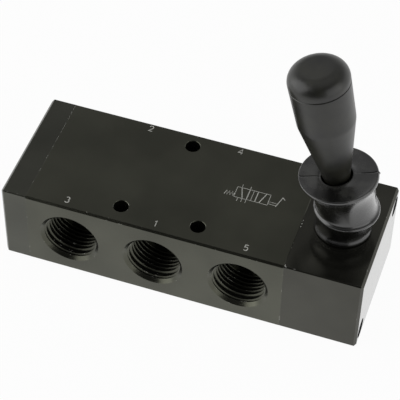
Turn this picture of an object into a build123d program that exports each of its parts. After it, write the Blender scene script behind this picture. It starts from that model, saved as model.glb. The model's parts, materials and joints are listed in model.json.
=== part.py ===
"""Hand lever air valve: an inline spool valve with five G1/2 ports in a three-piece bar block.

The lever leans towards the body at rest. Pulling it over swings its ball end, which drags the
spool against the return spring in the left-hand cap. Millimetres, +Z up, +X towards the lever,
and the origin lies under the middle of the block on the face that it stands on.
"""

from math import cos, radians, sin, tan
import os

from build123d import *

# Block: spring cap, body and lever housing, end to end along X
cap_length = 9.5
body_length = 96.5
housing_length = 28.5
block_width = 50.0
block_height = 33.5
end_inset = 0.2
body_edge_chamfer = 0.78
end_edge_chamfer = 0.35
seam_chamfer = 0.12
outer_edge_chamfer = 0.9

# Fits
running_gap = 0.05
static_gap = 0.02
stop_gap = 0.3
seal_gap = 0.03

# How far a cut runs on past the face that it opens through
run_past = 1.0

# G1/2 ports, three on the front and two on the back, half a pitch apart
port_step = 16.0
port_mouth_radius = 11.3
port_lead_radius = 10.1
port_lead_step = 0.4
thread_major_radius = 10.478
thread_minor_radius = 9.316
thread_pitch = 1.814
thread_flank_angle = 27.5
thread_turns = 7
port_run_out = 0.9

# Spool bore with a ring-shaped chamber behind each port
spool_bore_radius = 9.0
chamber_width = 7.0
chamber_depth = 3.0
passage_height = 12.0

# Mounting holes straight down through the body
mount_hole_radius = 2.75
mount_hole_chamfer = 0.15
front_mount_spacing = 28.8
front_mount_y = -17.5
back_mount_y = 18.85

# Spool
spool_shaft_radius = 6.0
spool_land_half = 2.4
spool_tail = 4.0
seal_section_radius = 1.0
seal_groove_half = 1.2
end_seal_inset = 1.7
spring_socket_radius = 4.2
spring_socket_depth = 12.0
spool_stud_radius = 4.0
spool_stud_length = 8.0
spool_overhang = 2.0

# Spring cap and return spring
cap_pocket_radius = 9.5
cap_pocket_depth = 3.0
spring_seat_depth = 3.4
spring_outer_radius = 3.9
spring_wire_radius = 0.55
spring_turns = 9

# Face seals at the two joints of the block
face_seal_radius = 11.6
face_seal_section = 0.6
face_groove_half = 0.9
face_groove_depth = 1.26

# Cap screws, M4, on one diagonal of each end
screw_radius = 2.0
screw_head_radius = 3.45
screw_head_height = 4.0
screw_head_chamfer = 0.3
screw_socket_flats = 3.0
screw_socket_depth = 2.1
screw_edge_distance = 5.2
screw_engagement = 8.0
counterbore_radius = 3.75
counterbore_depth = 4.4
tapped_hole_spare = 1.2
screw_hole_gap = 0.2

# Lever and its pivot, above the middle of the housing
pivot_height = 6.2
lever_lean = 12.5
lever_shank_radius = 4.0
lever_boss_below = 5.0
lever_taper = 3.0
lever_arm_radius = 2.2
lever_ball_radius = 3.0
lever_stud_radius = 3.0
pivot_pin_radius = 1.5

# Pivot bush, screwed into the housing and standing up inside the boot
bush_bore_radius = 5.5
bush_thread_radius = 7.0
bush_thread_depth = 7.0
bush_neck_radius = 7.4
bush_height = 9.5
bush_groove_radius = 8.0
bush_groove_height = 1.5
bush_lip_radius = 8.8
bush_lip_height = 1.5
bush_mouth_chamfer = 0.5

# Drive link between the spool and the lever's ball
link_radius = 6.0
link_flat_height = 3.0
link_ball_gap = 0.15
link_end_wall = 2.2
link_end_chamfer = 0.6
link_pin_radius = 1.25
link_pin_inset = 0.3

# Rubber boot: height above the housing and outer radius of each ring of its outline
boot_outline = (
    (0.05, 9.9),
    (1.0, 10.3),
    (2.2, 9.9),
    (3.4, 9.6),
    (7.8, 9.7),
    (10.0, 11.6),
    (11.3, 11.6),
    (12.2, 10.7),
    (16.0, 10.7),
    (20.2, 11.5),
    (23.3, 12.8),
    (24.9, 13.9),
    (25.8, 13.9),
)
boot_wall = 1.2
boot_flex_start = 12.2
boot_follow = 0.85
boot_tilt_share = 0.56
boot_top_thickness = 1.5
boot_hole_gap = 0.35
soft_gap = 0.2

# Handle, lengths along the lever's own axis from the pivot
handle_start = 18.6
handle_start_radius = 4.61
handle_kink = 45.3
handle_kink_radius = 10.07
handle_kink_blend = 8.0
handle_split = 61.2
handle_top = 67.8
handle_flare = 0.0297
handle_top_fillet = 5.0
handle_wall = 2.4
handle_seam_gap = 0.12
handle_seam_chamfer = 0.2
cap_spigot_length = 4.0
insert_start = 22.5
insert_length = 18.0
insert_radius = 4.2
insert_grooves = 2
insert_groove_depth = 0.5
insert_groove_width = 2.4

# Places worked out from the sizes above
left_face = -(cap_length + body_length + housing_length) / 2
cap_seam = left_face + cap_length
housing_seam = cap_seam + body_length
right_face = housing_seam + housing_length
body_centre = (cap_seam + housing_seam) / 2
housing_centre = (housing_seam + right_face) / 2
half_width = block_width / 2
housing_top = block_height - end_inset
spool_z = block_height / 2
port_places = {
    "3": (body_centre - 2 * port_step, -1),
    "2": (body_centre - port_step, 1),
    "1": (body_centre, -1),
    "4": (body_centre + port_step, 1),
    "5": (body_centre + 2 * port_step, -1),
}
thread_depth = thread_major_radius - thread_minor_radius
thread_flank = thread_depth * tan(radians(thread_flank_angle))
thread_flat = thread_pitch / 2 - thread_flank
lead_reach = thread_flat / 2 + (thread_major_radius - port_lead_radius) * tan(radians(thread_flank_angle))
first_groove = port_mouth_radius - port_lead_radius + lead_reach
last_groove = first_groove + (thread_turns - 1) * thread_pitch
port_depth = last_groove + thread_flat / 2 + thread_flank + port_run_out
chamber_radius = spool_bore_radius + chamber_depth

pivot_z = housing_top + pivot_height
lever_arm = pivot_z - spool_z
ball_offset = lever_arm * sin(radians(lever_lean))
spool_stroke = 2 * ball_offset
ball_x = housing_centre + ball_offset
ball_hole_radius = lever_ball_radius + link_ball_gap
link_start = housing_seam + spool_overhang
link_end = ball_x + ball_hole_radius + link_end_wall
spool_land_radius = spool_bore_radius - running_gap
spring_seat = cap_seam - cap_pocket_depth - spring_seat_depth
screw_y = half_width - screw_edge_distance
screw_rise = block_height / 2 - screw_edge_distance
boot_top = boot_outline[-1][0]
boot_top_shift = boot_follow * (boot_top - pivot_height) * tan(radians(lever_lean))
boot_top_tilt = boot_tilt_share * lever_lean


def along_x(radius, start, end, y=0.0, z=spool_z):
    """A round bar along X, by default on the spool's axis."""
    return Pos((start + end) / 2, y, z) * Rot(0, 90, 0) * Cylinder(radius, abs(end - start))


def upright(radius, bottom, top, x=0.0, y=0.0):
    """A round bar along Z."""
    return Pos(x, y, (bottom + top) / 2) * Cylinder(radius, top - bottom)


def turned(points):
    """A solid turned about Z from a closed outline of (radius, height) points."""
    return revolve(Plane.XZ * make_face(Polyline(*points, close=True)), Axis.Z)


def ring_along_x(ring_radius, section_radius, x):
    """An O-ring round the spool's axis."""
    return Pos(x, 0, spool_z) * Rot(0, 90, 0) * Torus(ring_radius, section_radius)


def bar_piece(start, end, inset):
    """One length of the square-edged bar, with sharp edges."""
    size = Box(end - start, block_width - 2 * inset, block_height - 2 * inset)
    return Pos((start + end) / 2, 0, block_height / 2) * size


def break_long_edges(piece, size):
    """Breaks the four edges that run along a length of bar."""
    return chamfer(piece.edges().filter_by(Axis.X), size)


def break_end(piece, side, size):
    """Breaks the edges round one end face of a length of bar; side is 0 for left, -1 for right."""
    return chamfer(piece.faces().filter_by(Axis.X).sort_by(Axis.X)[side].edges(), size)


def port_cutter():
    """All that one port takes out of the block, turned about Z, with the block's face at z = 0.

    A countersink leads into the thread, and the first crests are cut back towards it.
    """
    points = [(0, run_past), (port_mouth_radius, run_past), (port_mouth_radius, 0)]
    crest_radius = port_lead_radius
    groove = -first_groove
    for _ in range(thread_turns):
        next_crest = max(crest_radius - port_lead_step, thread_minor_radius)
        outer_reach = thread_flat / 2
        above = outer_reach + (thread_major_radius - crest_radius) * tan(radians(thread_flank_angle))
        below = outer_reach + (thread_major_radius - next_crest) * tan(radians(thread_flank_angle))
        points += [
            (crest_radius, groove + above),
            (thread_major_radius, groove + outer_reach),
            (thread_major_radius, groove - outer_reach),
            (next_crest, groove - below),
        ]
        crest_radius = next_crest
        groove -= thread_pitch
    points += [(thread_minor_radius, -port_depth), (0, -port_depth)]
    return turned(points)


def screw_places():
    """The two screws of an end, as (y, z), on the diagonal from the top back to the bottom front."""
    return [(side * screw_y, spool_z + side * screw_rise) for side in (-1, 1)]


def end_screws(face, direction, length):
    """Two M4 socket cap screws let into an end face; direction is +1 when they point along +X."""
    solids = []
    head_top = face + direction * (counterbore_depth - screw_head_height)
    seat = face + direction * counterbore_depth
    for y, z in screw_places():
        head = along_x(screw_head_radius, head_top, seat, y, z)
        head = chamfer(head.edges().group_by(Axis.X)[0 if direction > 0 else -1], screw_head_chamfer)
        shank = along_x(screw_radius, seat, seat + direction * length, y, z)
        hexagon = extrude(RegularPolygon(screw_socket_flats / 2, 6, major_radius=False), screw_socket_depth)
        socket = Pos(head_top, y, z) * Rot(0, 90 * direction, 0) * hexagon
        solids.append(head + shank - socket)
    return Compound(children=solids)


def screw_holes(face, direction, through):
    """Counterbores and clearance holes for an end's screws, through the end piece."""
    cuts = []
    outside = face - direction * run_past
    seat = face + direction * counterbore_depth
    far_side = face + direction * (through + run_past)
    for y, z in screw_places():
        cuts.append(along_x(counterbore_radius, outside, seat, y, z))
        cuts.append(along_x(screw_radius + screw_hole_gap, face, far_side, y, z))
    return cuts


def tapped_holes(seam, direction):
    """Tapped holes in the body for an end's screws."""
    outside = seam - direction * run_past
    bottom = seam + direction * (screw_engagement + tapped_hole_spare)
    radius = screw_radius + static_gap
    return [along_x(radius, outside, bottom, y, z) for y, z in screw_places()]


def mounting_places():
    """The three mounting holes, as (x, y)."""
    half = front_mount_spacing / 2
    front = [(body_centre + side * half, front_mount_y) for side in (-1, 1)]
    return front + [(body_centre, back_mount_y)]


def valve_body():
    """The middle length of bar: ports, spool bore with its chambers, mounting and screw holes."""
    body = break_long_edges(bar_piece(cap_seam, housing_seam, 0), body_edge_chamfer)
    body = break_end(break_end(body, 0, seam_chamfer), -1, seam_chamfer)
    cuts = [along_x(spool_bore_radius, cap_seam - run_past, housing_seam + run_past)]
    for x, side in port_places.values():
        cuts.append(along_x(chamber_radius, x - chamber_width / 2, x + chamber_width / 2))
        cuts.append(Pos(x, side * half_width, spool_z) * Rot(-90 * side, 0, 0) * port_cutter())
        reach = half_width - port_depth + static_gap
        passage = Box(chamber_width, reach, passage_height)
        cuts.append(Pos(x, side * reach / 2, spool_z) * passage)
    mouth = Cone(mount_hole_radius + mount_hole_chamfer, mount_hole_radius, mount_hole_chamfer)
    mouth = Pos(0, 0, mount_hole_chamfer / 2) * mouth
    for x, y in mounting_places():
        cuts.append(upright(mount_hole_radius, -run_past, block_height + run_past, x, y))
        cuts.append(Pos(x, y, 0) * mouth)
        cuts.append(Pos(x, y, block_height) * Rot(180, 0, 0) * mouth)
    cuts += tapped_holes(cap_seam, 1) + tapped_holes(housing_seam, -1)
    return body - cuts


def face_groove(seam, direction):
    """The groove for a face seal, cut into an end piece from the seam."""
    outside = seam - direction * run_past
    bottom = seam + direction * face_groove_depth
    outer = along_x(face_seal_radius + face_groove_half, outside, bottom)
    return outer - along_x(face_seal_radius - face_groove_half, outside, bottom)


def face_seal(seam, direction):
    """The O-ring in a face groove."""
    middle = seam + direction * face_groove_depth / 2
    return ring_along_x(face_seal_radius, face_seal_section, middle)


def spring_cap():
    """The left-hand end cap: a pocket for the spool's tail and a seat for the return spring."""
    cap = break_end(bar_piece(left_face, cap_seam, end_inset), 0, outer_edge_chamfer)
    cap = break_long_edges(cap, end_edge_chamfer)
    cap -= along_x(cap_pocket_radius, cap_seam - cap_pocket_depth, cap_seam + run_past)
    cap -= along_x(spring_socket_radius, spring_seat, cap_seam)
    cap -= face_groove(cap_seam, -1)
    cap -= screw_holes(left_face, 1, cap_length)
    return cap


def lever_housing():
    """The right-hand end block: a blind bore for the drive link and the bush's hole from the top."""
    housing = break_end(bar_piece(housing_seam, right_face, end_inset), -1, outer_edge_chamfer)
    housing = break_long_edges(housing, end_edge_chamfer)
    housing -= along_x(spool_bore_radius, housing_seam - run_past, link_end + stop_gap)
    hole_radius = bush_thread_radius + static_gap
    housing -= upright(hole_radius, spool_z, housing_top + run_past, housing_centre)
    housing -= face_groove(housing_seam, 1)
    housing -= screw_holes(right_face, -1, housing_length)
    return housing


def seal_places():
    """Where the six spool seals sit at rest: one at each end of the body, and four between ports.

    Of those four, two close a land at rest and the other two when the lever is pulled.
    """
    lands = [x + port_step / 2 for x, _ in port_places.values()]
    left_end = cap_seam + end_seal_inset + spool_stroke
    right_end = housing_seam - end_seal_inset
    return [left_end, lands[0], lands[1] + spool_stroke, lands[2], lands[3] + spool_stroke, right_end]


def spool():
    """The spool: a waisted bar with full-diameter lands round its seals."""
    seals = seal_places()
    left_end = seals[0] - spool_tail
    right_end = link_start
    piece = along_x(spool_shaft_radius, left_end, right_end)
    piece += along_x(spool_stud_radius, right_end, right_end + spool_stud_length)
    for x in seals:
        piece += along_x(spool_land_radius, x - spool_land_half, x + spool_land_half)
    piece += along_x(spool_land_radius, seals[2], seals[3])
    groove_radius = spool_bore_radius - seal_gap - 2 * seal_section_radius - seal_gap
    for x in seals:
        low, high = x - seal_groove_half, x + seal_groove_half
        piece -= along_x(spool_bore_radius, low, high) - along_x(groove_radius, low, high)
    piece -= along_x(spring_socket_radius, left_end, left_end + spring_socket_depth)
    pin_x = right_end + spool_stud_length / 2
    piece -= Pos(pin_x, 0, spool_z) * Rot(90, 0, 0) * pin_hole(link_pin_radius)
    return piece


def pin_hole(radius):
    """A long bar that cuts the hole for a pin fitted without play."""
    return Cylinder(radius + static_gap, block_width)


def spool_seal(x):
    """One of the spool's O-rings."""
    return ring_along_x(spool_bore_radius - seal_gap - seal_section_radius, seal_section_radius, x)


def return_spring():
    """The compression spring between the cap's seat and the bottom of the spool's socket."""
    start = spring_seat + spring_wire_radius + static_gap
    end = seal_places()[0] - spool_tail + spring_socket_depth - spring_wire_radius - static_gap
    coil_radius = spring_outer_radius - spring_wire_radius
    helix = Helix((end - start) / spring_turns, end - start, coil_radius)
    wire = sweep(Plane(helix @ 0, z_dir=helix % 0) * Circle(spring_wire_radius), helix, is_frenet=True)
    return Pos(start, 0, spool_z) * Rot(0, 90, 0) * wire


def drive_link():
    """The bar that joins the spool to the lever: a socket at one end, the ball's hole at the other."""
    link = along_x(link_radius, link_start, link_end)
    link = chamfer(link.edges().group_by(Axis.X)[-1], link_end_chamfer)
    socket_end = link_start + spool_stud_length + stop_gap
    link -= along_x(spool_stud_radius + static_gap, link_start, socket_end)
    link -= upright(ball_hole_radius, spool_z - 2 * link_radius, spool_z + 2 * link_radius, ball_x)
    flat_start = ball_x - ball_hole_radius - link_end_wall
    flat_size = Box(link_end - flat_start + run_past, 2 * link_radius, link_radius)
    flat_x = (flat_start + link_end + run_past) / 2
    link -= Pos(flat_x, 0, spool_z + link_flat_height + link_radius / 2) * flat_size
    pin_x = link_start + spool_stud_length / 2
    link -= Pos(pin_x, 0, spool_z) * Rot(90, 0, 0) * pin_hole(link_pin_radius)
    return link


def link_pin():
    """The pin across the link's socket and the spool's stud."""
    length = 2 * (link_radius - link_pin_inset)
    pin = Cylinder(link_pin_radius, length)
    return Pos(link_start + spool_stud_length / 2, 0, spool_z) * Rot(90, 0, 0) * pin


def pivot_bush():
    """The bush that carries the lever: thread below, boot groove and lip, neck with the pin's hole."""
    groove_top = bush_groove_height
    lip_top = groove_top + bush_lip_height
    points = [
        (0, -bush_thread_depth),
        (bush_thread_radius, -bush_thread_depth),
        (bush_thread_radius, 0),
        (bush_groove_radius, 0),
        (bush_groove_radius, groove_top),
        (bush_lip_radius, groove_top),
        (bush_lip_radius, lip_top),
        (bush_neck_radius, lip_top),
        (bush_neck_radius, bush_height),
        (0, bush_height),
    ]
    bush = turned(points)
    bush -= upright(bush_bore_radius, -bush_thread_depth - run_past, bush_height + run_past)
    mouth = Cone(bush_bore_radius, bush_bore_radius + bush_mouth_chamfer, bush_mouth_chamfer)
    bush -= Pos(0, 0, bush_height - bush_mouth_chamfer / 2) * mouth
    bush -= Pos(0, 0, pivot_height) * Rot(90, 0, 0) * pin_hole(pivot_pin_radius)
    return Pos(housing_centre, 0, housing_top) * bush


def pivot_pin():
    """The pin that the lever turns on, across the bush."""
    pin = Cylinder(pivot_pin_radius, 2 * bush_neck_radius - 2 * link_pin_inset)
    return Pos(housing_centre, 0, pivot_z) * Rot(90, 0, 0) * pin


def on_lever(shape):
    """Puts a shape built about the pivot, with the lever upright, at the lever's rest lean."""
    return Pos(housing_centre, 0, pivot_z) * Rot(0, -lever_lean, 0) * shape


def lever_rod():
    """The steel lever: ball end, arm, pivot boss, shank and the stud that the handle screws on."""
    stud_end = insert_start + insert_length - stop_gap
    arm_top = -lever_boss_below - lever_taper
    points = [
        (0, -lever_arm),
        (lever_arm_radius, -lever_arm),
        (lever_arm_radius, arm_top),
        (lever_shank_radius, -lever_boss_below),
        (lever_shank_radius, handle_start - static_gap),
        (lever_stud_radius, handle_start - static_gap),
        (lever_stud_radius, stud_end),
        (0, stud_end),
    ]
    rod = turned(points) + Pos(0, 0, -lever_arm) * Sphere(lever_ball_radius)
    rod -= Rot(90, 0, 0) * Cylinder(pivot_pin_radius + running_gap, 4 * lever_shank_radius)
    return on_lever(rod)


def handle_radius(height):
    """The handle's outer radius above its kink, where it flares very slightly."""
    return handle_kink_radius + handle_flare * (height - handle_kink)


def lever_handle():
    """The hollow moulded handle, open at the top, with room for its threaded insert."""
    split_radius = handle_radius(handle_split)
    inside = split_radius - handle_wall
    insert_room = insert_radius + static_gap
    insert_top = insert_start + insert_length
    shoulder = insert_top + insert_radius
    points = [
        (lever_stud_radius + static_gap, handle_start),
        (handle_start_radius, handle_start),
        (handle_kink_radius, handle_kink),
        (split_radius - handle_flare * handle_seam_chamfer, handle_split - handle_seam_chamfer),
        (split_radius - handle_seam_chamfer, handle_split),
        (inside, handle_split),
        (inside, shoulder),
        (insert_room, insert_top),
        (insert_room, insert_start - static_gap),
        (lever_stud_radius + static_gap, insert_start - static_gap),
    ]
    outline = make_face(Polyline(*points, close=True))
    kink = outline.vertices().sort_by_distance((handle_kink_radius, handle_kink, 0))[0]
    outline = fillet(kink, handle_kink_blend)
    return on_lever(revolve(Plane.XZ * outline, Axis.Z))


def handle_cap():
    """The domed cap that closes the handle, with a spigot inside it."""
    bottom = handle_split + handle_seam_gap
    rim = handle_radius(bottom)
    spigot = handle_radius(handle_split) - handle_wall - static_gap
    points = [
        (0, handle_split - cap_spigot_length),
        (spigot, handle_split - cap_spigot_length),
        (spigot, bottom),
        (rim - handle_seam_chamfer, bottom),
        (rim, bottom + handle_seam_chamfer),
        (handle_radius(handle_top), handle_top),
        (0, handle_top),
    ]
    outline = make_face(Polyline(*points, close=True))
    corner = outline.vertices().sort_by_distance((handle_radius(handle_top), handle_top, 0))[0]
    outline = fillet(corner, handle_top_fillet)
    return on_lever(revolve(Plane.XZ * outline, Axis.Z))


def handle_insert():
    """The brass insert moulded into the handle, with two grooves that hold it."""
    insert = upright(insert_radius, insert_start, insert_start + insert_length)
    bottom_radius = insert_radius - insert_groove_depth
    for groove in range(1, insert_grooves + 1):
        middle = insert_start + insert_length * groove / (insert_grooves + 1)
        low, high = middle - insert_groove_width / 2, middle + insert_groove_width / 2
        insert -= upright(insert_radius, low, high) - upright(bottom_radius, low, high)
    thread_top = insert_start + insert_length + run_past
    insert -= upright(lever_stud_radius + static_gap, insert_start - run_past, thread_top)
    return on_lever(insert)


def boot_ring(height, radius):
    """One circle of the boot, moved and tilted towards the lever's lean above the flexing start."""
    share = max(0.0, height - boot_flex_start) / (boot_top - boot_flex_start)
    place = Pos(housing_centre - boot_top_shift * share**1.5, 0, housing_top + height)
    return place * Rot(0, -boot_top_tilt * share, 0) * Circle(radius)


def stack(rings):
    """A solid through a list of (height, radius) circles, straight from each to the next."""
    return loft([boot_ring(height, radius) for height, radius in rings], ruled=True)


def boot_inside():
    """The boot's hollow as (height, radius) circles, from above its bead to below its top."""
    bead_top = bush_groove_height - soft_gap
    lip_clear = bush_groove_height + bush_lip_height + soft_gap
    lip_radius = bush_lip_radius + soft_gap
    wall_top = boot_top - 2 * boot_top_thickness
    walls = [(height, radius - boot_wall) for height, radius in boot_outline]
    walls = [(height, radius) for height, radius in walls if lip_clear + boot_wall < height < wall_top]
    ceiling = (boot_top - boot_top_thickness, walls[-1][1])
    return [(bead_top, lip_radius), (lip_clear, lip_radius), *walls, ceiling]


def lever_boot():
    """The rubber boot: a bead in the bush's groove, a ribbed wall and a flared top round the handle."""
    boot = stack(boot_outline) - stack(boot_inside())
    bead_radius = bush_groove_radius + soft_gap
    bead_low, bead_high = housing_top - run_past, housing_top + bush_groove_height
    boot -= upright(bead_radius, bead_low, bead_high, housing_centre)
    hole_height = (boot_top - pivot_height) / cos(radians(lever_lean))
    slope = (handle_kink_radius - handle_start_radius) / (handle_kink - handle_start)
    hole_radius = handle_start_radius + slope * (hole_height - handle_start) + boot_hole_gap
    hole_reach = 2 * boot_top_thickness + run_past
    boot -= on_lever(upright(hole_radius, hole_height - hole_reach, hole_height + hole_reach))
    return boot


nodes = {
    "valve_body": valve_body(),
    "spring_cap": spring_cap(),
    "lever_housing": lever_housing(),
    "cap_seal": face_seal(cap_seam, -1),
    "housing_seal": face_seal(housing_seam, 1),
    "cap_screws": end_screws(left_face, 1, cap_length - counterbore_depth + screw_engagement),
    "housing_screws": end_screws(right_face, -1, housing_length - counterbore_depth + screw_engagement),
    "spool": spool(),
    "return_spring": return_spring(),
    "drive_link": drive_link(),
    "link_pin": link_pin(),
    "pivot_bush": pivot_bush(),
    "pivot_pin": pivot_pin(),
    "lever_rod": lever_rod(),
    "lever_handle": lever_handle(),
    "handle_cap": handle_cap(),
    "handle_insert": handle_insert(),
    "lever_boot": lever_boot(),
}
for number, x in enumerate(seal_places(), start=1):
    nodes[f"spool_seal_{number}"] = spool_seal(x)

os.makedirs("parts", exist_ok=True)
for name, shape in nodes.items():
    export_step(shape, f"parts/{name}.step")
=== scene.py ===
import json
from math import cos, hypot, pi, radians, sin

import bpy
from mathutils import Matrix, Vector


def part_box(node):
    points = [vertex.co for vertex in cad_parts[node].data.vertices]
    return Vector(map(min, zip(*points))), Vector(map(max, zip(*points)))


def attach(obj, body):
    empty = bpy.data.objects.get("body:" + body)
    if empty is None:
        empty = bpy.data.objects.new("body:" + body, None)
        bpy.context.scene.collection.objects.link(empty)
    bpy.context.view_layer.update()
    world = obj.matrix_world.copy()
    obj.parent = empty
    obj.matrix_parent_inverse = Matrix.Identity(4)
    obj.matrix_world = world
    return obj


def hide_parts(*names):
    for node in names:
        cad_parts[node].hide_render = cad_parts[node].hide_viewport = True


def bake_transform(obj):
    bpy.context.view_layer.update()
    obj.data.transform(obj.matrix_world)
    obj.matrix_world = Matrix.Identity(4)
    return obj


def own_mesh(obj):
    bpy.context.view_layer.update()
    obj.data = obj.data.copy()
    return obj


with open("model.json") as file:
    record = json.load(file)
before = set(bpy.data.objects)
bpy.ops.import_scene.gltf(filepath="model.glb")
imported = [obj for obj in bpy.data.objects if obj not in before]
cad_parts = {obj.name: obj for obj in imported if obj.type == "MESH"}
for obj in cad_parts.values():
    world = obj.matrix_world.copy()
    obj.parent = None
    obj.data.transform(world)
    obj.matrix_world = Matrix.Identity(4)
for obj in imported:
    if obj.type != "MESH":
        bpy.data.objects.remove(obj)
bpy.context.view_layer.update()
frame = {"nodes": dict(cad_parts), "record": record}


# Valve body
# The middle length of square-edged aluminium bar, bored for the spool and tapped for five pipe
# ports, then satin blasted and dyed black by anodising, threads and all.

def linear(hex_colour):
    """An sRGB hex colour as linear red, green, blue and alpha."""
    channels = [int(hex_colour[i:i + 2], 16) / 255 for i in (1, 3, 5)]
    curve = [c / 12.92 if c <= 0.04045 else ((c + 0.055) / 1.055) ** 2.4 for c in channels]
    return (*curve, 1.0)


def add(tree, kind, inputs=None, **settings):
    """Adds one node: settings go on the node, and inputs are values or sockets to link."""
    node = tree.nodes.new(kind)
    for name, value in settings.items():
        setattr(node, name, value)
    for name, value in (inputs or {}).items():
        if isinstance(value, bpy.types.NodeSocket):
            tree.links.new(value, node.inputs[name])
        else:
            node.inputs[name].default_value = value
    return node


def two_tones(tree, grey, low, dark, high, light):
    """A ramp from one sRGB colour to another, between two values of a grey."""
    ramp = add(tree, "ShaderNodeValToRGB", {"Fac": grey})
    for element, place, colour in zip(ramp.color_ramp.elements, (low, high), (dark, light)):
        element.position, element.color = place, linear(colour)
    return ramp.outputs["Color"]


def mixed(tree, share, first, second):
    """The colour between two colours, which are sockets or linear values."""
    # A colour mix keeps its two colours on sockets 6 and 7, and gives the result on socket 2.
    mix = add(tree, "ShaderNodeMix", {"Factor": share, 6: first, 7: second}, data_type="RGBA")
    return mix.outputs[2]


def empty_material(name):
    """A material with no nodes yet, and its node tree."""
    material = bpy.data.materials.new(name)
    material.use_nodes = True
    material.node_tree.nodes.clear()
    return material, material.node_tree


def dress(node_name, material):
    """Gives a carried-over node its material."""
    mesh = frame["nodes"][node_name].data
    mesh.materials.clear()
    mesh.materials.append(material)


def anodised_aluminium(name, line_mm, blast, roughness, oxide_ior, tint):
    """Black anodised bar: a clear oxide with dye in its pores, so the metal under it hardly shows.

    What the eye gets is the room mirrored in the oxide, softened by drawing lines and blasting.
    The oxide took unevenly, so the shine comes in faint clouds. The ends were milled square and
    sealed, so they mirror more. Corners are painted a little paler, partly as rubbing and partly as
    a painted highlight along the edges, with bare metal in a few small knocks.
    """
    material, tree = empty_material(name)
    coordinates = add(tree, "ShaderNodeTexCoord")
    place = coordinates.outputs["Object"]
    grain_mm, cloud_mm, chip_mm, corner_mm, relief_mm = 0.22, 30, 1.6, 0.3, 0.02
    drawn_out = (0.015, 1, 1)
    along_bar = add(tree, "ShaderNodeMapping", {"Vector": place, "Scale": drawn_out})
    lines = add(tree, "ShaderNodeTexNoise",
                {"Vector": along_bar.outputs[0], "Scale": 1000 / line_mm, "Detail": 2.0})
    grain = add(tree, "ShaderNodeTexNoise",
                {"Vector": place, "Scale": 1000 / grain_mm, "Detail": 3.0, "Roughness": 0.65})
    clouds = add(tree, "ShaderNodeTexNoise",
                 {"Vector": place, "Scale": 1000 / cloud_mm, "Detail": 3.0})
    dye = two_tones(tree, clouds.outputs["Fac"], 0.3, "#090908", 0.7, "#161613")
    sheen = add(tree, "ShaderNodeMapRange",
                {"Value": clouds.outputs["Fac"], "From Min": 0.35, "From Max": 0.65,
                 "To Min": 0.44, "To Max": 0.57})
    corner = add(tree, "ShaderNodeBevel", {"Radius": corner_mm / 1000}, samples=4)
    flat = add(tree, "ShaderNodeNewGeometry").outputs["Normal"]
    turned_by = add(tree, "ShaderNodeVectorMath",
                    {0: corner.outputs[0], 1: flat}, operation="DOT_PRODUCT")
    # Edge mask: the paler edge colour is partly rubbing and partly a painted highlight on the
    # corners.
    edge_wear_and_highlight = add(tree, "ShaderNodeMapRange",
                 {"Value": turned_by.outputs["Value"], "From Min": 0.995, "From Max": 0.85})
    grainy_wear_and_highlight = add(tree, "ShaderNodeMath", {0: edge_wear_and_highlight.outputs[0], 1: grain.outputs["Fac"]},
               operation="MULTIPLY")
    paler_wear_and_highlight = mixed(tree, grainy_wear_and_highlight.outputs[0], dye, linear("#3A3A36"))
    knocks = add(tree, "ShaderNodeTexNoise",
                 {"Vector": place, "Scale": 1000 / chip_mm, "Detail": 1.0})
    chipped = add(tree, "ShaderNodeMapRange",
                  {"Value": knocks.outputs["Fac"], "From Min": 0.66, "From Max": 0.69})
    chips = add(tree, "ShaderNodeMath", {0: edge_wear_and_highlight.outputs[0], 1: chipped.outputs[0]},
                operation="MULTIPLY")
    colour = mixed(tree, chips.outputs[0], paler_wear_and_highlight, linear("#B9B8B2"))
    rough = add(tree, "ShaderNodeMapRange",
                {"Value": lines.outputs["Fac"],
                 "To Min": roughness - 0.03, "To Max": roughness + 0.03})
    drawn = add(tree, "ShaderNodeBump",
                {"Height": lines.outputs["Fac"], "Strength": 0.1, "Distance": relief_mm / 1000})
    blasted = add(tree, "ShaderNodeBump",
                  {"Height": grain.outputs["Fac"], "Strength": blast,
                   "Distance": relief_mm / 1000, "Normal": drawn.outputs[0]})
    facing = add(tree, "ShaderNodeSeparateXYZ", {"Vector": coordinates.outputs["Normal"]})
    endwards = add(tree, "ShaderNodeMath", {0: facing.outputs["X"]}, operation="ABSOLUTE")
    milled = add(tree, "ShaderNodeMapRange",
                 {"Value": endwards.outputs[0],
                  "From Min": 0.95, "From Max": 0.99, "To Max": 0.82})
    shader = add(tree, "ShaderNodeBsdfPrincipled",
                 {"Base Color": colour, "Roughness": rough.outputs[0], "IOR": oxide_ior,
                  "Specular IOR Level": sheen.outputs[0], "Specular Tint": linear(tint),
                  "Coat Weight": milled.outputs[0], "Coat Roughness": 0.2,
                  "Normal": blasted.outputs[0]})
    add(tree, "ShaderNodeOutputMaterial", {"Surface": shader.outputs[0]})
    return material


bar_alloy = anodised_aluminium("black_anodised_bar", line_mm=0.5, blast=0.3, roughness=0.24,
                               oxide_ior=1.69, tint="#FDFFE3")
dress("valve_body", bar_alloy)
body_low, body_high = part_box("valve_body")
body_middle = (body_low.x + body_high.x) / 2


# Laser marks
# The port numbers and the flow symbol, burnt through the black dye by a laser that draws with
# one line, so the bare oxide shows as pale grey strokes of an even width.

def engraved_oxide(name):
    """Lasered anodising: pale, dry and slightly speckled, because the beam pulses."""
    material, tree = empty_material(name)
    place = add(tree, "ShaderNodeTexCoord").outputs["Object"]
    pulse_mm = 0.12
    pulses = add(tree, "ShaderNodeTexNoise", {"Vector": place, "Scale": 1000 / pulse_mm})
    tone = two_tones(tree, pulses.outputs["Fac"], 0.35, "#A6A6A0", 0.65, "#DEDED8")
    shader = add(tree, "ShaderNodeBsdfPrincipled", {"Base Color": tone, "Roughness": 0.8})
    add(tree, "ShaderNodeOutputMaterial", {"Surface": shader.outputs[0]})
    return material


mark_depth = 0.00003
mark_line = 0.00030
marks = engraved_oxide("laser_marked_oxide")


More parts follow.
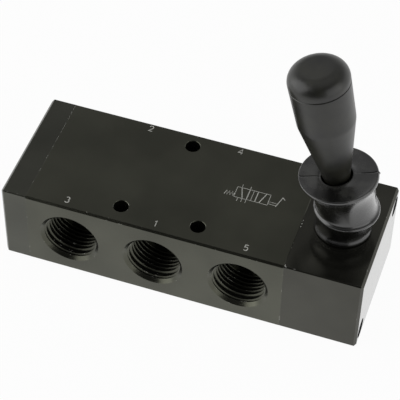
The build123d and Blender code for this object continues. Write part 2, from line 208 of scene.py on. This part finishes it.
def arc(x, y, radius_x, radius_y, start, end, steps=8):
    """Points along part of an ellipse, angles in degrees."""
    turns = [radians(start + (end - start) * i / steps) for i in range(steps + 1)]
    return [(x + radius_x * cos(a), y + radius_y * sin(a)) for a in turns]


# Each numeral is drawn in a box 0.6 wide and 1 high, as one or two strokes.
numerals = {
    "1": [[(0.12, 0.78), (0.34, 1.0), (0.34, 0.0)]],
    "2": [arc(0.3, 0.72, 0.27, 0.28, 165, -20) + [(0.03, 0.0), (0.6, 0.0)]],
    "3": [arc(0.28, 0.75, 0.25, 0.25, 150, -75) + arc(0.28, 0.27, 0.29, 0.27, 75, -150)],
    "4": [[(0.46, 0.0), (0.46, 1.0), (0.0, 0.28), (0.6, 0.28)]],
    "5": [[(0.55, 1.0), (0.12, 1.0), (0.07, 0.56)] + arc(0.29, 0.33, 0.28, 0.32, 130, -145)],
}


def ribbon(points, line):
    """The left and right edge points of a stroke of one line width, mitred at its bends."""
    rows = []
    for i, (x, y) in enumerate(points):
        before = points[max(i - 1, 0)]
        after = points[min(i + 1, len(points) - 1)]
        ways = []
        for (ax, ay), (bx, by) in ((before, (x, y)), ((x, y), after)):
            length = hypot(bx - ax, by - ay)
            if length > 0:
                ways.append(((bx - ax) / length, (by - ay) / length))
        way_x = sum(w[0] for w in ways) / len(ways)
        way_y = sum(w[1] for w in ways) / len(ways)
        size = max(hypot(way_x, way_y), 0.5)
        side_x, side_y = -way_y / size, way_x / size
        reach = line / 2 / size
        rows.append([(x + side_x * reach, y + side_y * reach),
                     (x - side_x * reach, y - side_y * reach)])
    return rows


def engrave(name, strokes, top, line=mark_line):
    """One thin piece for a group of strokes on a top face at that height."""
    corners, faces = [], []
    for points in strokes:
        rows = ribbon(points, line)
        first = len(corners)
        for left, right in rows:
            for lift in (0, mark_depth):
                corners.append((*left, top + lift))
                corners.append((*right, top + lift))
        for i in range(len(rows) - 1):
            a, b = first + 4 * i, first + 4 * (i + 1)
            faces += [(a, b, b + 1, a + 1), (a + 2, a + 3, b + 3, b + 2),
                      (a, a + 2, b + 2, b), (a + 1, b + 1, b + 3, a + 3)]
        last = first + 4 * (len(rows) - 1)
        faces += [(first, first + 1, first + 3, first + 2), (last, last + 2, last + 3, last + 1)]
    mesh = bpy.data.meshes.new(name)
    mesh.from_pydata(corners, [], faces)
    mesh.materials.append(marks)
    piece = bpy.data.objects.new(name, mesh)
    bpy.context.scene.collection.objects.link(piece)
    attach(piece, "valve")


def numeral_strokes(numeral, left, foot, height):
    """The strokes of a numeral, from its lower left corner."""
    return [[(left + u * height, foot + v * height) for u, v in stroke]
            for stroke in numerals[numeral]]


top_face = body_high.z
numeral_height = 0.0026
half_numeral = 0.3 * numeral_height
front_foot, back_foot = body_low.y + 0.0026, body_high.y - 0.0041
number_places = {"3": (-0.0334, front_foot), "1": (0.0, front_foot), "5": (0.0334, front_foot),
                 "2": (-0.01745, back_foot), "4": (0.01745, back_foot)}
for number, (along, foot) in number_places.items():
    strokes = numeral_strokes(number, body_middle + along - half_numeral, foot, numeral_height)
    engrave(f"port_number_{number}", strokes, top_face)

# The flow symbol: two squares for the two positions, a spring on one side, a lever on the other.
symbol_left, symbol_low = body_middle + 0.0218, 0.0004


def symbol_points(*points):
    """Points of the symbol in millimetres from its lower left corner, as places on the face."""
    return [(symbol_left + x / 1000, symbol_low + y / 1000) for x, y in points]


wide, high = 6.25, 5.0
both_wide = 2 * wide
ports_low = [wide * share for share in (0.25, 0.5, 0.75)]
ports_high = [wide * share for share in (0.25, 0.75)]
stub_below, stub_above = 1.7, 1.5
outlines = [symbol_points((0, 0), (0, high), (both_wide, high), (both_wide, 0), (0, 0))]
outlines.append(symbol_points((wide, 0), (wide, high)))
outlines += [symbol_points((x, 0), (x, -stub_below)) for x in ports_low]
outlines += [symbol_points((x, high), (x, high + stub_above)) for x in ports_high]
# At rest 1 feeds 2 and 4 vents through 5; pulled, 1 feeds 4 and 2 vents through 3.
flows = [symbol_points((ports_low[1], 0), (ports_high[0], high))]
flows.append(symbol_points((ports_high[1], high), (ports_low[2], 0)))
flows.append(symbol_points((wide + ports_low[1], 0), (wide + ports_high[1], high)))
flows.append(symbol_points((wide + ports_high[0], high), (wide + ports_low[0], 0)))
coil_start, coil_step, coil_middle = -3.7, 0.53, 1.2
coil_points = [(coil_start + coil_step * i, coil_middle + (1.0 if i % 2 else -1.0))
               for i in range(8)]
flows.append(symbol_points(*coil_points))
arm_end = both_wide + 3.0
outlines += [symbol_points((both_wide, y), (arm_end, y)) for y in (1.7, 0.7)]
flows.append(symbol_points((arm_end, 0.2), (arm_end + 1.4, 5.2), (arm_end + 2.4, 4.3)))
thin_line = 0.00017
engrave("symbol_squares", outlines, top_face, line=thin_line)
engrave("symbol_flows", flows, top_face)


# Spring cap and lever housing
# The two end blocks, cut from the same bar. Each was anodised in a batch of its own, so the cap
# mirrors a little less than the body, and the housing less again.

dress("spring_cap", anodised_aluminium("black_anodised_cap", line_mm=0.5, blast=0.3,
                                       roughness=0.25, oxide_ior=1.66, tint="#FDFFEA"))
dress("lever_housing", anodised_aluminium("black_anodised_housing", line_mm=0.7, blast=0.1,
                                          roughness=0.18, oxide_ior=1.55, tint="#FFFEEA"))
housing_low, housing_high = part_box("lever_housing")

# Pale strokes along the housing's edge at the seam, one bent round its front corner, are painted
# glints where that edge catches the light.
glint_line = 0.00026
glint_x = housing_low.x + glint_line
glint_strokes = [[(glint_x + 0.0006, -0.0245), (glint_x, -0.0243), (glint_x, -0.0236)]]
for start, length in ((-0.0053, 0.0004), (-0.0040, 0.0005), (-0.0022, 0.0003)):
    glint_strokes.append([(glint_x, start), (glint_x, start + length)])
engrave("seam_glint_strokes", glint_strokes, housing_high.z, line=glint_line)

# Pale hairline strokes run along the body's edge at the cap, coming and going.
hairline = 0.00003
hairline_x = body_low.x + hairline
pale_marks = ((0.0236, 0.0214), (0.0206, 0.0188), (0.0182, 0.0160), (0.0148, 0.0104),
        (0.0098, 0.0091), (0.0072, 0.0040), (0.0021, 0.0010), (-0.0032, -0.0050),
        (-0.0101, -0.0114), (-0.0168, -0.0177))
hairlines = [[(hairline_x, start), (hairline_x, end)] for start, end in pale_marks]
engrave("seam_hairlines", hairlines, top_face, line=hairline)


# Screws
# M4 socket cap screws of blackened steel, sunk in counterbores in both ends of the block.

def black_oxide_steel(name):
    """Blackened steel: a thin oiled oxide over turned metal, dark with small bright rubs."""
    material, tree = empty_material(name)
    place = add(tree, "ShaderNodeTexCoord").outputs["Object"]
    rub_mm = 0.8
    pale_marks = add(tree, "ShaderNodeTexNoise",
               {"Vector": place, "Scale": 1000 / rub_mm, "Detail": 4.0})
    tone = two_tones(tree, pale_marks.outputs["Fac"], 0.45, "#2A2A2C", 0.75, "#5A5A5C")
    rough = add(tree, "ShaderNodeMapRange",
                {"Value": pale_marks.outputs["Fac"], "To Min": 0.45, "To Max": 0.3})
    shader = add(tree, "ShaderNodeBsdfPrincipled",
                 {"Base Color": tone, "Roughness": rough.outputs[0], "Metallic": 1.0})
    add(tree, "ShaderNodeOutputMaterial", {"Surface": shader.outputs[0]})
    return material


screw_steel = black_oxide_steel("blackened_screw_steel")
for screws in ("cap_screws", "housing_screws"):
    dress(screws, screw_steel)


# Seals
# O-rings of moulded nitrile rubber: six round the spool and one in each joint of the block.

def moulded_nitrile(name):
    """Nitrile O-ring: black and softly shiny from its grease, with a fine mould skin."""
    material, tree = empty_material(name)
    place = add(tree, "ShaderNodeTexCoord").outputs["Object"]
    skin_mm, relief_mm = 0.15, 0.02
    skin = add(tree, "ShaderNodeTexNoise",
               {"Vector": place, "Scale": 1000 / skin_mm, "Detail": 2.0})
    bump = add(tree, "ShaderNodeBump",
               {"Height": skin.outputs["Fac"], "Strength": 0.2, "Distance": relief_mm / 1000})
    rough = add(tree, "ShaderNodeMapRange",
                {"Value": skin.outputs["Fac"], "To Min": 0.3, "To Max": 0.45})
    shader = add(tree, "ShaderNodeBsdfPrincipled",
                 {"Base Color": linear("#1B1B1B"), "Roughness": rough.outputs[0], "IOR": 1.52,
                  "Normal": bump.outputs[0]})
    add(tree, "ShaderNodeOutputMaterial", {"Surface": shader.outputs[0]})
    return material


seal_rubber = moulded_nitrile("nitrile_seals")
for seal in ["cap_seal", "housing_seal"] + [f"spool_seal_{i}" for i in range(1, 7)]:
    dress(seal, seal_rubber)


# Spool and return spring
# The spool is turned from aluminium and polished where it runs; the spring is drawn steel wire.

def turned_metal(name, colour, axis_scale, roughness):
    """Turned metal: fine feed marks round the work, brighter and darker from cut to cut."""
    material, tree = empty_material(name)
    place = add(tree, "ShaderNodeTexCoord").outputs["Object"]
    feed_mm, relief_mm = 0.12, 0.01
    squeezed = add(tree, "ShaderNodeMapping", {"Vector": place, "Scale": axis_scale})
    feed = add(tree, "ShaderNodeTexNoise",
               {"Vector": squeezed.outputs[0], "Scale": 1000 / feed_mm, "Detail": 1.0})
    bump = add(tree, "ShaderNodeBump",
               {"Height": feed.outputs["Fac"], "Strength": 0.3, "Distance": relief_mm / 1000})
    rough = add(tree, "ShaderNodeMapRange",
                {"Value": feed.outputs["Fac"],
                 "To Min": roughness - 0.06, "To Max": roughness + 0.1})
    shader = add(tree, "ShaderNodeBsdfPrincipled",
                 {"Base Color": linear(colour), "Roughness": rough.outputs[0], "Metallic": 1.0,
                  "Normal": bump.outputs[0]})
    add(tree, "ShaderNodeOutputMaterial", {"Surface": shader.outputs[0]})
    return material


lengthwise, upright = (1.0, 0.02, 0.02), (0.02, 0.02, 1.0)
dress("spool", turned_metal("turned_spool_alloy", "#C9CACB", lengthwise, 0.22))
dress("return_spring", turned_metal("drawn_spring_wire", "#8C8A86", lengthwise, 0.3))

# A copy of the spring's mesh stands in for the spring, carried with the valve's body.
joints = {joint["name"]: joint for joint in frame["record"]["behaviour"]["joints"]}
coils = bpy.data.objects.new("wound_spring", frame["nodes"]["return_spring"].data.copy())
bpy.context.scene.collection.objects.link(coils)
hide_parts("return_spring")
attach(coils, "valve")
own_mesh(coils)


# Drive link, pins, bush and lever rod
# Turned free-cutting steel: the link rides on the spool's stud, and the rod turns on a pin
# across the bush, with its ball in the link.

link_steel = turned_metal("turned_link_steel", "#A3A19C", lengthwise, 0.28)
rod_steel = turned_metal("turned_rod_steel", "#A3A19C", upright, 0.28)
for piece_name in ("drive_link", "link_pin", "pivot_pin"):
    dress(piece_name, link_steel)
for piece_name in ("pivot_bush", "lever_rod"):
    dress(piece_name, rod_steel)
dress("handle_insert", turned_metal("turned_insert_brass", "#C9A25A", upright, 0.25))


# Boot
# A moulded rubber bellows: a bead held in the bush's groove, a straight neck, one thin fold, a
# waist and a wide flared top whose lip hugs the handle. It leans with the lever at rest.

def moulded_rubber(name):
    """Chloroprene boot: black rubber glossed by its mould release, with patches of bloom and dust.

    The lower part, up to the fold, is painted near-black as shade, and this painted shade
    fades into the grey bloom over the waist.
    """
    material, tree = empty_material(name)
    place = add(tree, "ShaderNodeTexCoord").outputs["Object"]
    skin_mm, bloom_mm, relief_mm = 0.3, 7, 0.04
    # Painted shade: the boot is near-black below these heights, fading into the bloom between them.
    shade_top, shade_fade_top = housing_high.z + 0.010, housing_high.z + 0.020
    height = add(tree, "ShaderNodeSeparateXYZ", {"Vector": place}).outputs["Z"]
    painted_shade_fade = add(tree, "ShaderNodeMapRange",
                  {"Value": height, "From Min": shade_top, "From Max": shade_fade_top})
    skin = add(tree, "ShaderNodeTexNoise",
               {"Vector": place, "Scale": 1000 / skin_mm, "Detail": 3.0})
    bloom = add(tree, "ShaderNodeTexNoise",
                {"Vector": place, "Scale": 1000 / bloom_mm, "Detail": 4.0, "Roughness": 0.6})
    bloomed = two_tones(tree, bloom.outputs["Fac"], 0.42, "#111110", 0.66, "#343431")
    colour = mixed(tree, painted_shade_fade.outputs[0], linear("#0A0A09"), bloomed)
    rough = add(tree, "ShaderNodeMapRange",
                {"Value": bloom.outputs["Fac"], "From Min": 0.35, "From Max": 0.7,
                 "To Min": 0.2, "To Max": 0.36})
    bump = add(tree, "ShaderNodeBump",
               {"Height": skin.outputs["Fac"], "Strength": 0.2, "Distance": relief_mm / 1000})
    shader = add(tree, "ShaderNodeBsdfPrincipled",
                 {"Base Color": colour, "Roughness": rough.outputs[0], "IOR": 1.5,
                  "Coat Weight": 1.0, "Coat Roughness": 0.17, "Normal": bump.outputs[0]})
    add(tree, "ShaderNodeOutputMaterial", {"Surface": shader.outputs[0]})
    return material


swing = joints["lever_swing"]
pivot = Vector(swing["pos_m"])
lean = radians(swing["range_deg"][1] / 2)

# Outline from the bead, up the outside and over the flat top: radius and height in mm.
boot_outside = [
    (9.8, 0.05), (10.25, 0.35), (10.35, 0.9), (10.25, 1.5), (9.85, 2.3), (9.6, 3.2), (9.55, 5.5),
    (9.6, 7.6), (9.85, 8.6), (10.7, 9.5), (11.4, 9.95), (11.75, 10.3), (11.75, 11.0), (11.4, 11.35),
    (10.9, 11.65), (10.7, 12.4), (10.7, 15.5), (11.0, 18.5), (11.7, 21.2), (12.7, 23.3),
    (13.3, 24.3), (13.75, 24.65), (13.9, 25.1), (13.85, 25.75), (13.45, 26.0), (12.9, 25.75),
    (9.8, 25.7), (7.4, 25.7),
]
# The lip round the handle, from the lever's own axis: radius and distance from its pin in mm. It
# is stretched a little loose on the near side.
boot_lip = [(6.2, 19.95), (5.65, 20.0), (5.4, 19.8), (5.4, 19.2), (6.0, 18.7)]
lip_loose_x, lip_loose_y = 0.2, -0.4
boot_inside = [
    (7.4, 24.3), (11.0, 24.0), (10.4, 21.5), (9.9, 18.0), (9.6, 14.0), (9.7, 11.9),
    (10.5, 10.8), (9.4, 9.7), (8.7, 8.2), (8.7, 4.0), (9.0, 3.3), (9.0, 1.4), (8.3, 1.3),
    (8.3, 0.05),
]
boot_flex_start, boot_top, boot_top_shift, boot_top_tilt = 12.2, 25.8, 3.7, radians(7.0)
fold_height, fold_half_height, fold_push = 10.7, 2.4, 0.6
boot_columns = 72
parting_turn = radians(18)
crease_depth, crease_half_turn = 0.5, radians(1.3)
flash_height, nub_reach = 0.1, 0.5


def leaned(radius, turn, height):
    """A point of the boot's surface in metres, shifted and tilted towards the lever's lean."""
    share = max(0.0, height - boot_flex_start) / (boot_top - boot_flex_start)
    push = fold_push * max(0.0, 1 - abs(height - fold_height) / fold_half_height)
    tilt = -boot_top_tilt * share
    across, along = radius * cos(turn), radius * sin(turn)
    x = across * cos(tilt) - boot_top_shift * share ** 1.3 + push
    z = height - across * sin(tilt)
    return (pivot.x + x / 1000, along / 1000, housing_high.z + z / 1000)


def on_lever(radius, turn, distance):
    """A point in metres on a ring about the lever's axis, at a distance from its pin."""
    across, along = radius * cos(turn) + lip_loose_x, radius * sin(turn) + lip_loose_y
    x = across * cos(lean) - distance * sin(lean)
    z = across * sin(lean) + distance * cos(lean)
    return (pivot.x + x / 1000, along / 1000, pivot.z + z / 1000)


def from_parting(turn):
    """The angle from a column to the nearer of the two parting lines."""
    return min(abs(((turn - parting_turn - side + pi) % (2 * pi)) - pi) for side in (0, pi))


def boot_turns():
    """The angles of the boot's columns, closer together at the two parting lines."""
    turns = [side + parting_turn + k * crease_half_turn
             for side in (0, pi) for k in (-2, -1, 0, 1, 2)]
    even = [2 * pi * i / boot_columns for i in range(boot_columns)]
    turns += [turn for turn in even if from_parting(turn) > 3 * crease_half_turn]
    return sorted(turn % (2 * pi) for turn in turns)


def flared_boot():
    """The boot's mesh, its outline carried round: a crease, a nub and a flash where it parts."""
    turns = boot_turns()
    bead_top, rim_foot, rim_top, crease_end, rim_radius = 2, 24.5, 25, 13.3, 13.8
    corners = []
    for turn in turns:
        on_parting = from_parting(turn) < 0.5 * crease_half_turn
        at_nub = cos(turn - parting_turn) > 0
        for radius, height in boot_outside:
            if on_parting:
                if height > rim_top and radius < crease_end:
                    height -= crease_depth
                elif height > rim_foot and radius > rim_radius and at_nub:
                    radius += nub_reach
                elif bead_top < height < rim_foot:
                    radius += flash_height
            corners.append(leaned(radius, turn, height))
        corners += [on_lever(radius, turn, distance) for radius, distance in boot_lip]
        corners += [leaned(radius, turn, height) for radius, height in boot_inside]
    count = len(boot_outside) + len(boot_lip) + len(boot_inside)
    faces = []
    for t in range(len(turns)):
        here, there = t * count, ((t + 1) % len(turns)) * count
        for i in range(count):
            j = (i + 1) % count
            faces.append((here + i, there + i, there + j, here + j))
    mesh = bpy.data.meshes.new("flared_boot")
    mesh.from_pydata(corners, [], faces)
    mesh.polygons.foreach_set("use_smooth", [True] * len(mesh.polygons))
    mesh.materials.append(moulded_rubber("moulded_boot_rubber"))
    boot = bpy.data.objects.new("flared_boot", mesh)
    bpy.context.scene.collection.objects.link(boot)
    rounding = boot.modifiers.new("rounding", "SUBSURF")
    rounding.levels = rounding.render_levels = 2
    return boot


boot = flared_boot()
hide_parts("lever_boot")
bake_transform(boot)


# Handle
# A hollow moulding of black polyamide with a domed cap pressed into its top. The mould was spark
# eroded, so the surface is matt and finely grained and blurs its highlights.

def grained_polyamide(name):
    """Moulded polyamide: near-black, matt, with a spark-eroded grain that blurs every glance."""
    material, tree = empty_material(name)
    place = add(tree, "ShaderNodeTexCoord").outputs["Object"]
    grain_mm, flow_mm, relief_mm = 0.35, 8, 0.04
    grain = add(tree, "ShaderNodeTexNoise",
                {"Vector": place, "Scale": 1000 / grain_mm, "Detail": 4.0, "Roughness": 0.7})
    flow = add(tree, "ShaderNodeTexNoise",
               {"Vector": place, "Scale": 1000 / flow_mm, "Detail": 4.0})
    tone = two_tones(tree, flow.outputs["Fac"], 0.35, "#131311", 0.65, "#26261F")
    bump = add(tree, "ShaderNodeBump",
               {"Height": grain.outputs["Fac"], "Strength": 0.2, "Distance": relief_mm / 1000})
    rough = add(tree, "ShaderNodeMapRange",
                {"Value": grain.outputs["Fac"], "To Min": 0.28, "To Max": 0.42})
    shader = add(tree, "ShaderNodeBsdfPrincipled",
                 {"Base Color": tone, "Roughness": rough.outputs[0], "IOR": 1.53,
                  "Normal": bump.outputs[0]})
    add(tree, "ShaderNodeOutputMaterial", {"Surface": shader.outputs[0]})
    return material


handle_plastic = grained_polyamide("grained_black_polyamide")
for moulding in ("lever_handle", "handle_cap"):
    dress(moulding, handle_plastic)


# Floor
# A plain white sweep under the valve, ending a little in front of it. It keeps the shadow, and
# shows white to the camera and in reflections.

def white_sweep(name):
    """White paper that mirrors see as white, and the camera too but for the shadow on it."""
    material, tree = empty_material(name)
    paper = add(tree, "ShaderNodeBsdfDiffuse", {"Color": linear("#E8E8E6")})
    glow = add(tree, "ShaderNodeEmission", {"Color": (1, 1, 1, 1), "Strength": 1.0})
    ray = add(tree, "ShaderNodeLightPath")
    mirrored = add(tree, "ShaderNodeMath",
                   {0: ray.outputs["Is Glossy Ray"], 1: ray.outputs["Is Transmission Ray"]},
                   operation="MAXIMUM")
    seen = add(tree, "ShaderNodeMath", {0: ray.outputs["Is Camera Ray"], 1: 0.96},
               operation="MULTIPLY")
    share = add(tree, "ShaderNodeMath", {0: mirrored.outputs[0], 1: seen.outputs[0]},
                operation="MAXIMUM")
    both = add(tree, "ShaderNodeMixShader",
               {0: share.outputs[0], 1: paper.outputs[0], 2: glow.outputs[0]})
    add(tree, "ShaderNodeOutputMaterial", {"Surface": both.outputs[0]})
    return material


floor_reach, near_edge = 3.0, -0.35
floor_mesh = bpy.data.meshes.new("floor")
floor_mesh.from_pydata([(-floor_reach, near_edge, 0), (floor_reach, near_edge, 0),
                        (floor_reach, floor_reach, 0), (-floor_reach, floor_reach, 0)],
                       [], [(0, 1, 2, 3)])
floor_mesh.materials.append(white_sweep("white_paper"))
floor = bpy.data.objects.new("floor", floor_mesh)
bpy.context.scene.collection.objects.link(floor)


# Light
# A room that is pale behind the valve, most of all low down, and dark on the viewer's side, with a
# low soft box on the right and a larger one on the left.

def soft_box(name, place, target, size, power):
    """A square area lamp at a place, turned to a target."""
    lamp = bpy.data.lights.new(name, "AREA")
    lamp.size, lamp.energy = size, power
    box = bpy.data.objects.new(name, lamp)
    box.location = place
    box.rotation_euler = (Vector(target) - Vector(place)).to_track_quat("-Z", "Y").to_euler()
    bpy.context.scene.collection.objects.link(box)


middle = (0.0, 0.0, 0.03)
soft_box("key_light", (0.85, -0.35, 0.25), middle, 1.0, 4.0)
soft_box("fill_light", (-0.9, -0.3, 0.4), middle, 1.2, 9.0)


def brightness_by_height(tree, height, steps):
    """A grey that changes with the height of the direction looked in: pairs of height and grey."""
    ramp = add(tree, "ShaderNodeValToRGB", {"Fac": height})
    elements = ramp.color_ramp.elements
    while len(elements) < len(steps):
        elements.new(0.5)
    for element, (position, grey) in zip(elements, steps):
        element.position, element.color = position, (grey, grey, grey, 1.0)
    return ramp.outputs["Color"]


world = bpy.data.worlds.new("pale_room")
world.use_nodes = True
world.node_tree.nodes.clear()
room_tree = world.node_tree
way = add(room_tree, "ShaderNodeSeparateXYZ",
          {"Vector": add(room_tree, "ShaderNodeTexCoord").outputs["Generated"]})
back_steps = ((0.0, 1.0), (0.2, 1.0), (0.5, 0.36), (0.8, 0.36), (1.0, 0.6))
front_steps = ((0.0, 0.12), (0.4, 0.05), (0.75, 0.05), (1.0, 0.5))
behind = brightness_by_height(room_tree, way.outputs["Z"], back_steps)
before = brightness_by_height(room_tree, way.outputs["Z"], front_steps)
turned_back = add(room_tree, "ShaderNodeMapRange",
                  {"Value": way.outputs["Y"], "From Min": -0.3, "From Max": 0.4})
walls = mixed(room_tree, turned_back.outputs[0], before, behind)
room = add(room_tree, "ShaderNodeBackground", {"Color": walls, "Strength": 1.0})
bright = add(room_tree, "ShaderNodeBackground", {"Color": (1, 1, 1, 1), "Strength": 1.0})
ray = add(room_tree, "ShaderNodeLightPath")
backdrop = add(room_tree, "ShaderNodeMixShader",
               {0: ray.outputs["Is Camera Ray"], 1: room.outputs[0], 2: bright.outputs[0]})
add(room_tree, "ShaderNodeOutputWorld", {"Surface": backdrop.outputs[0]})
bpy.context.scene.world = world


# Camera
# A long lens in front of the valve, a little to its right and well above it.

camera_data = bpy.data.cameras.new("camera")
camera_data.lens, camera_data.sensor_width = 153.48, 36.0
camera_data.clip_start, camera_data.clip_end = 0.05, 20.0
camera = bpy.data.objects.new("camera", camera_data)
camera_place, looks_at = Vector((0.12666, -0.39149, 0.48622)), Vector((-0.0031, 0.0090, 0.0167))
camera_roll = radians(1.30)
aim = (looks_at - camera_place).to_track_quat("-Z", "Y").to_matrix().to_4x4()
camera.matrix_world = Matrix.Translation(camera_place) @ aim @ Matrix.Rotation(camera_roll, 4, "Z")
bpy.context.scene.collection.objects.link(camera)
bpy.context.scene.camera = camera
bpy.context.scene.view_settings.view_transform = "Standard"
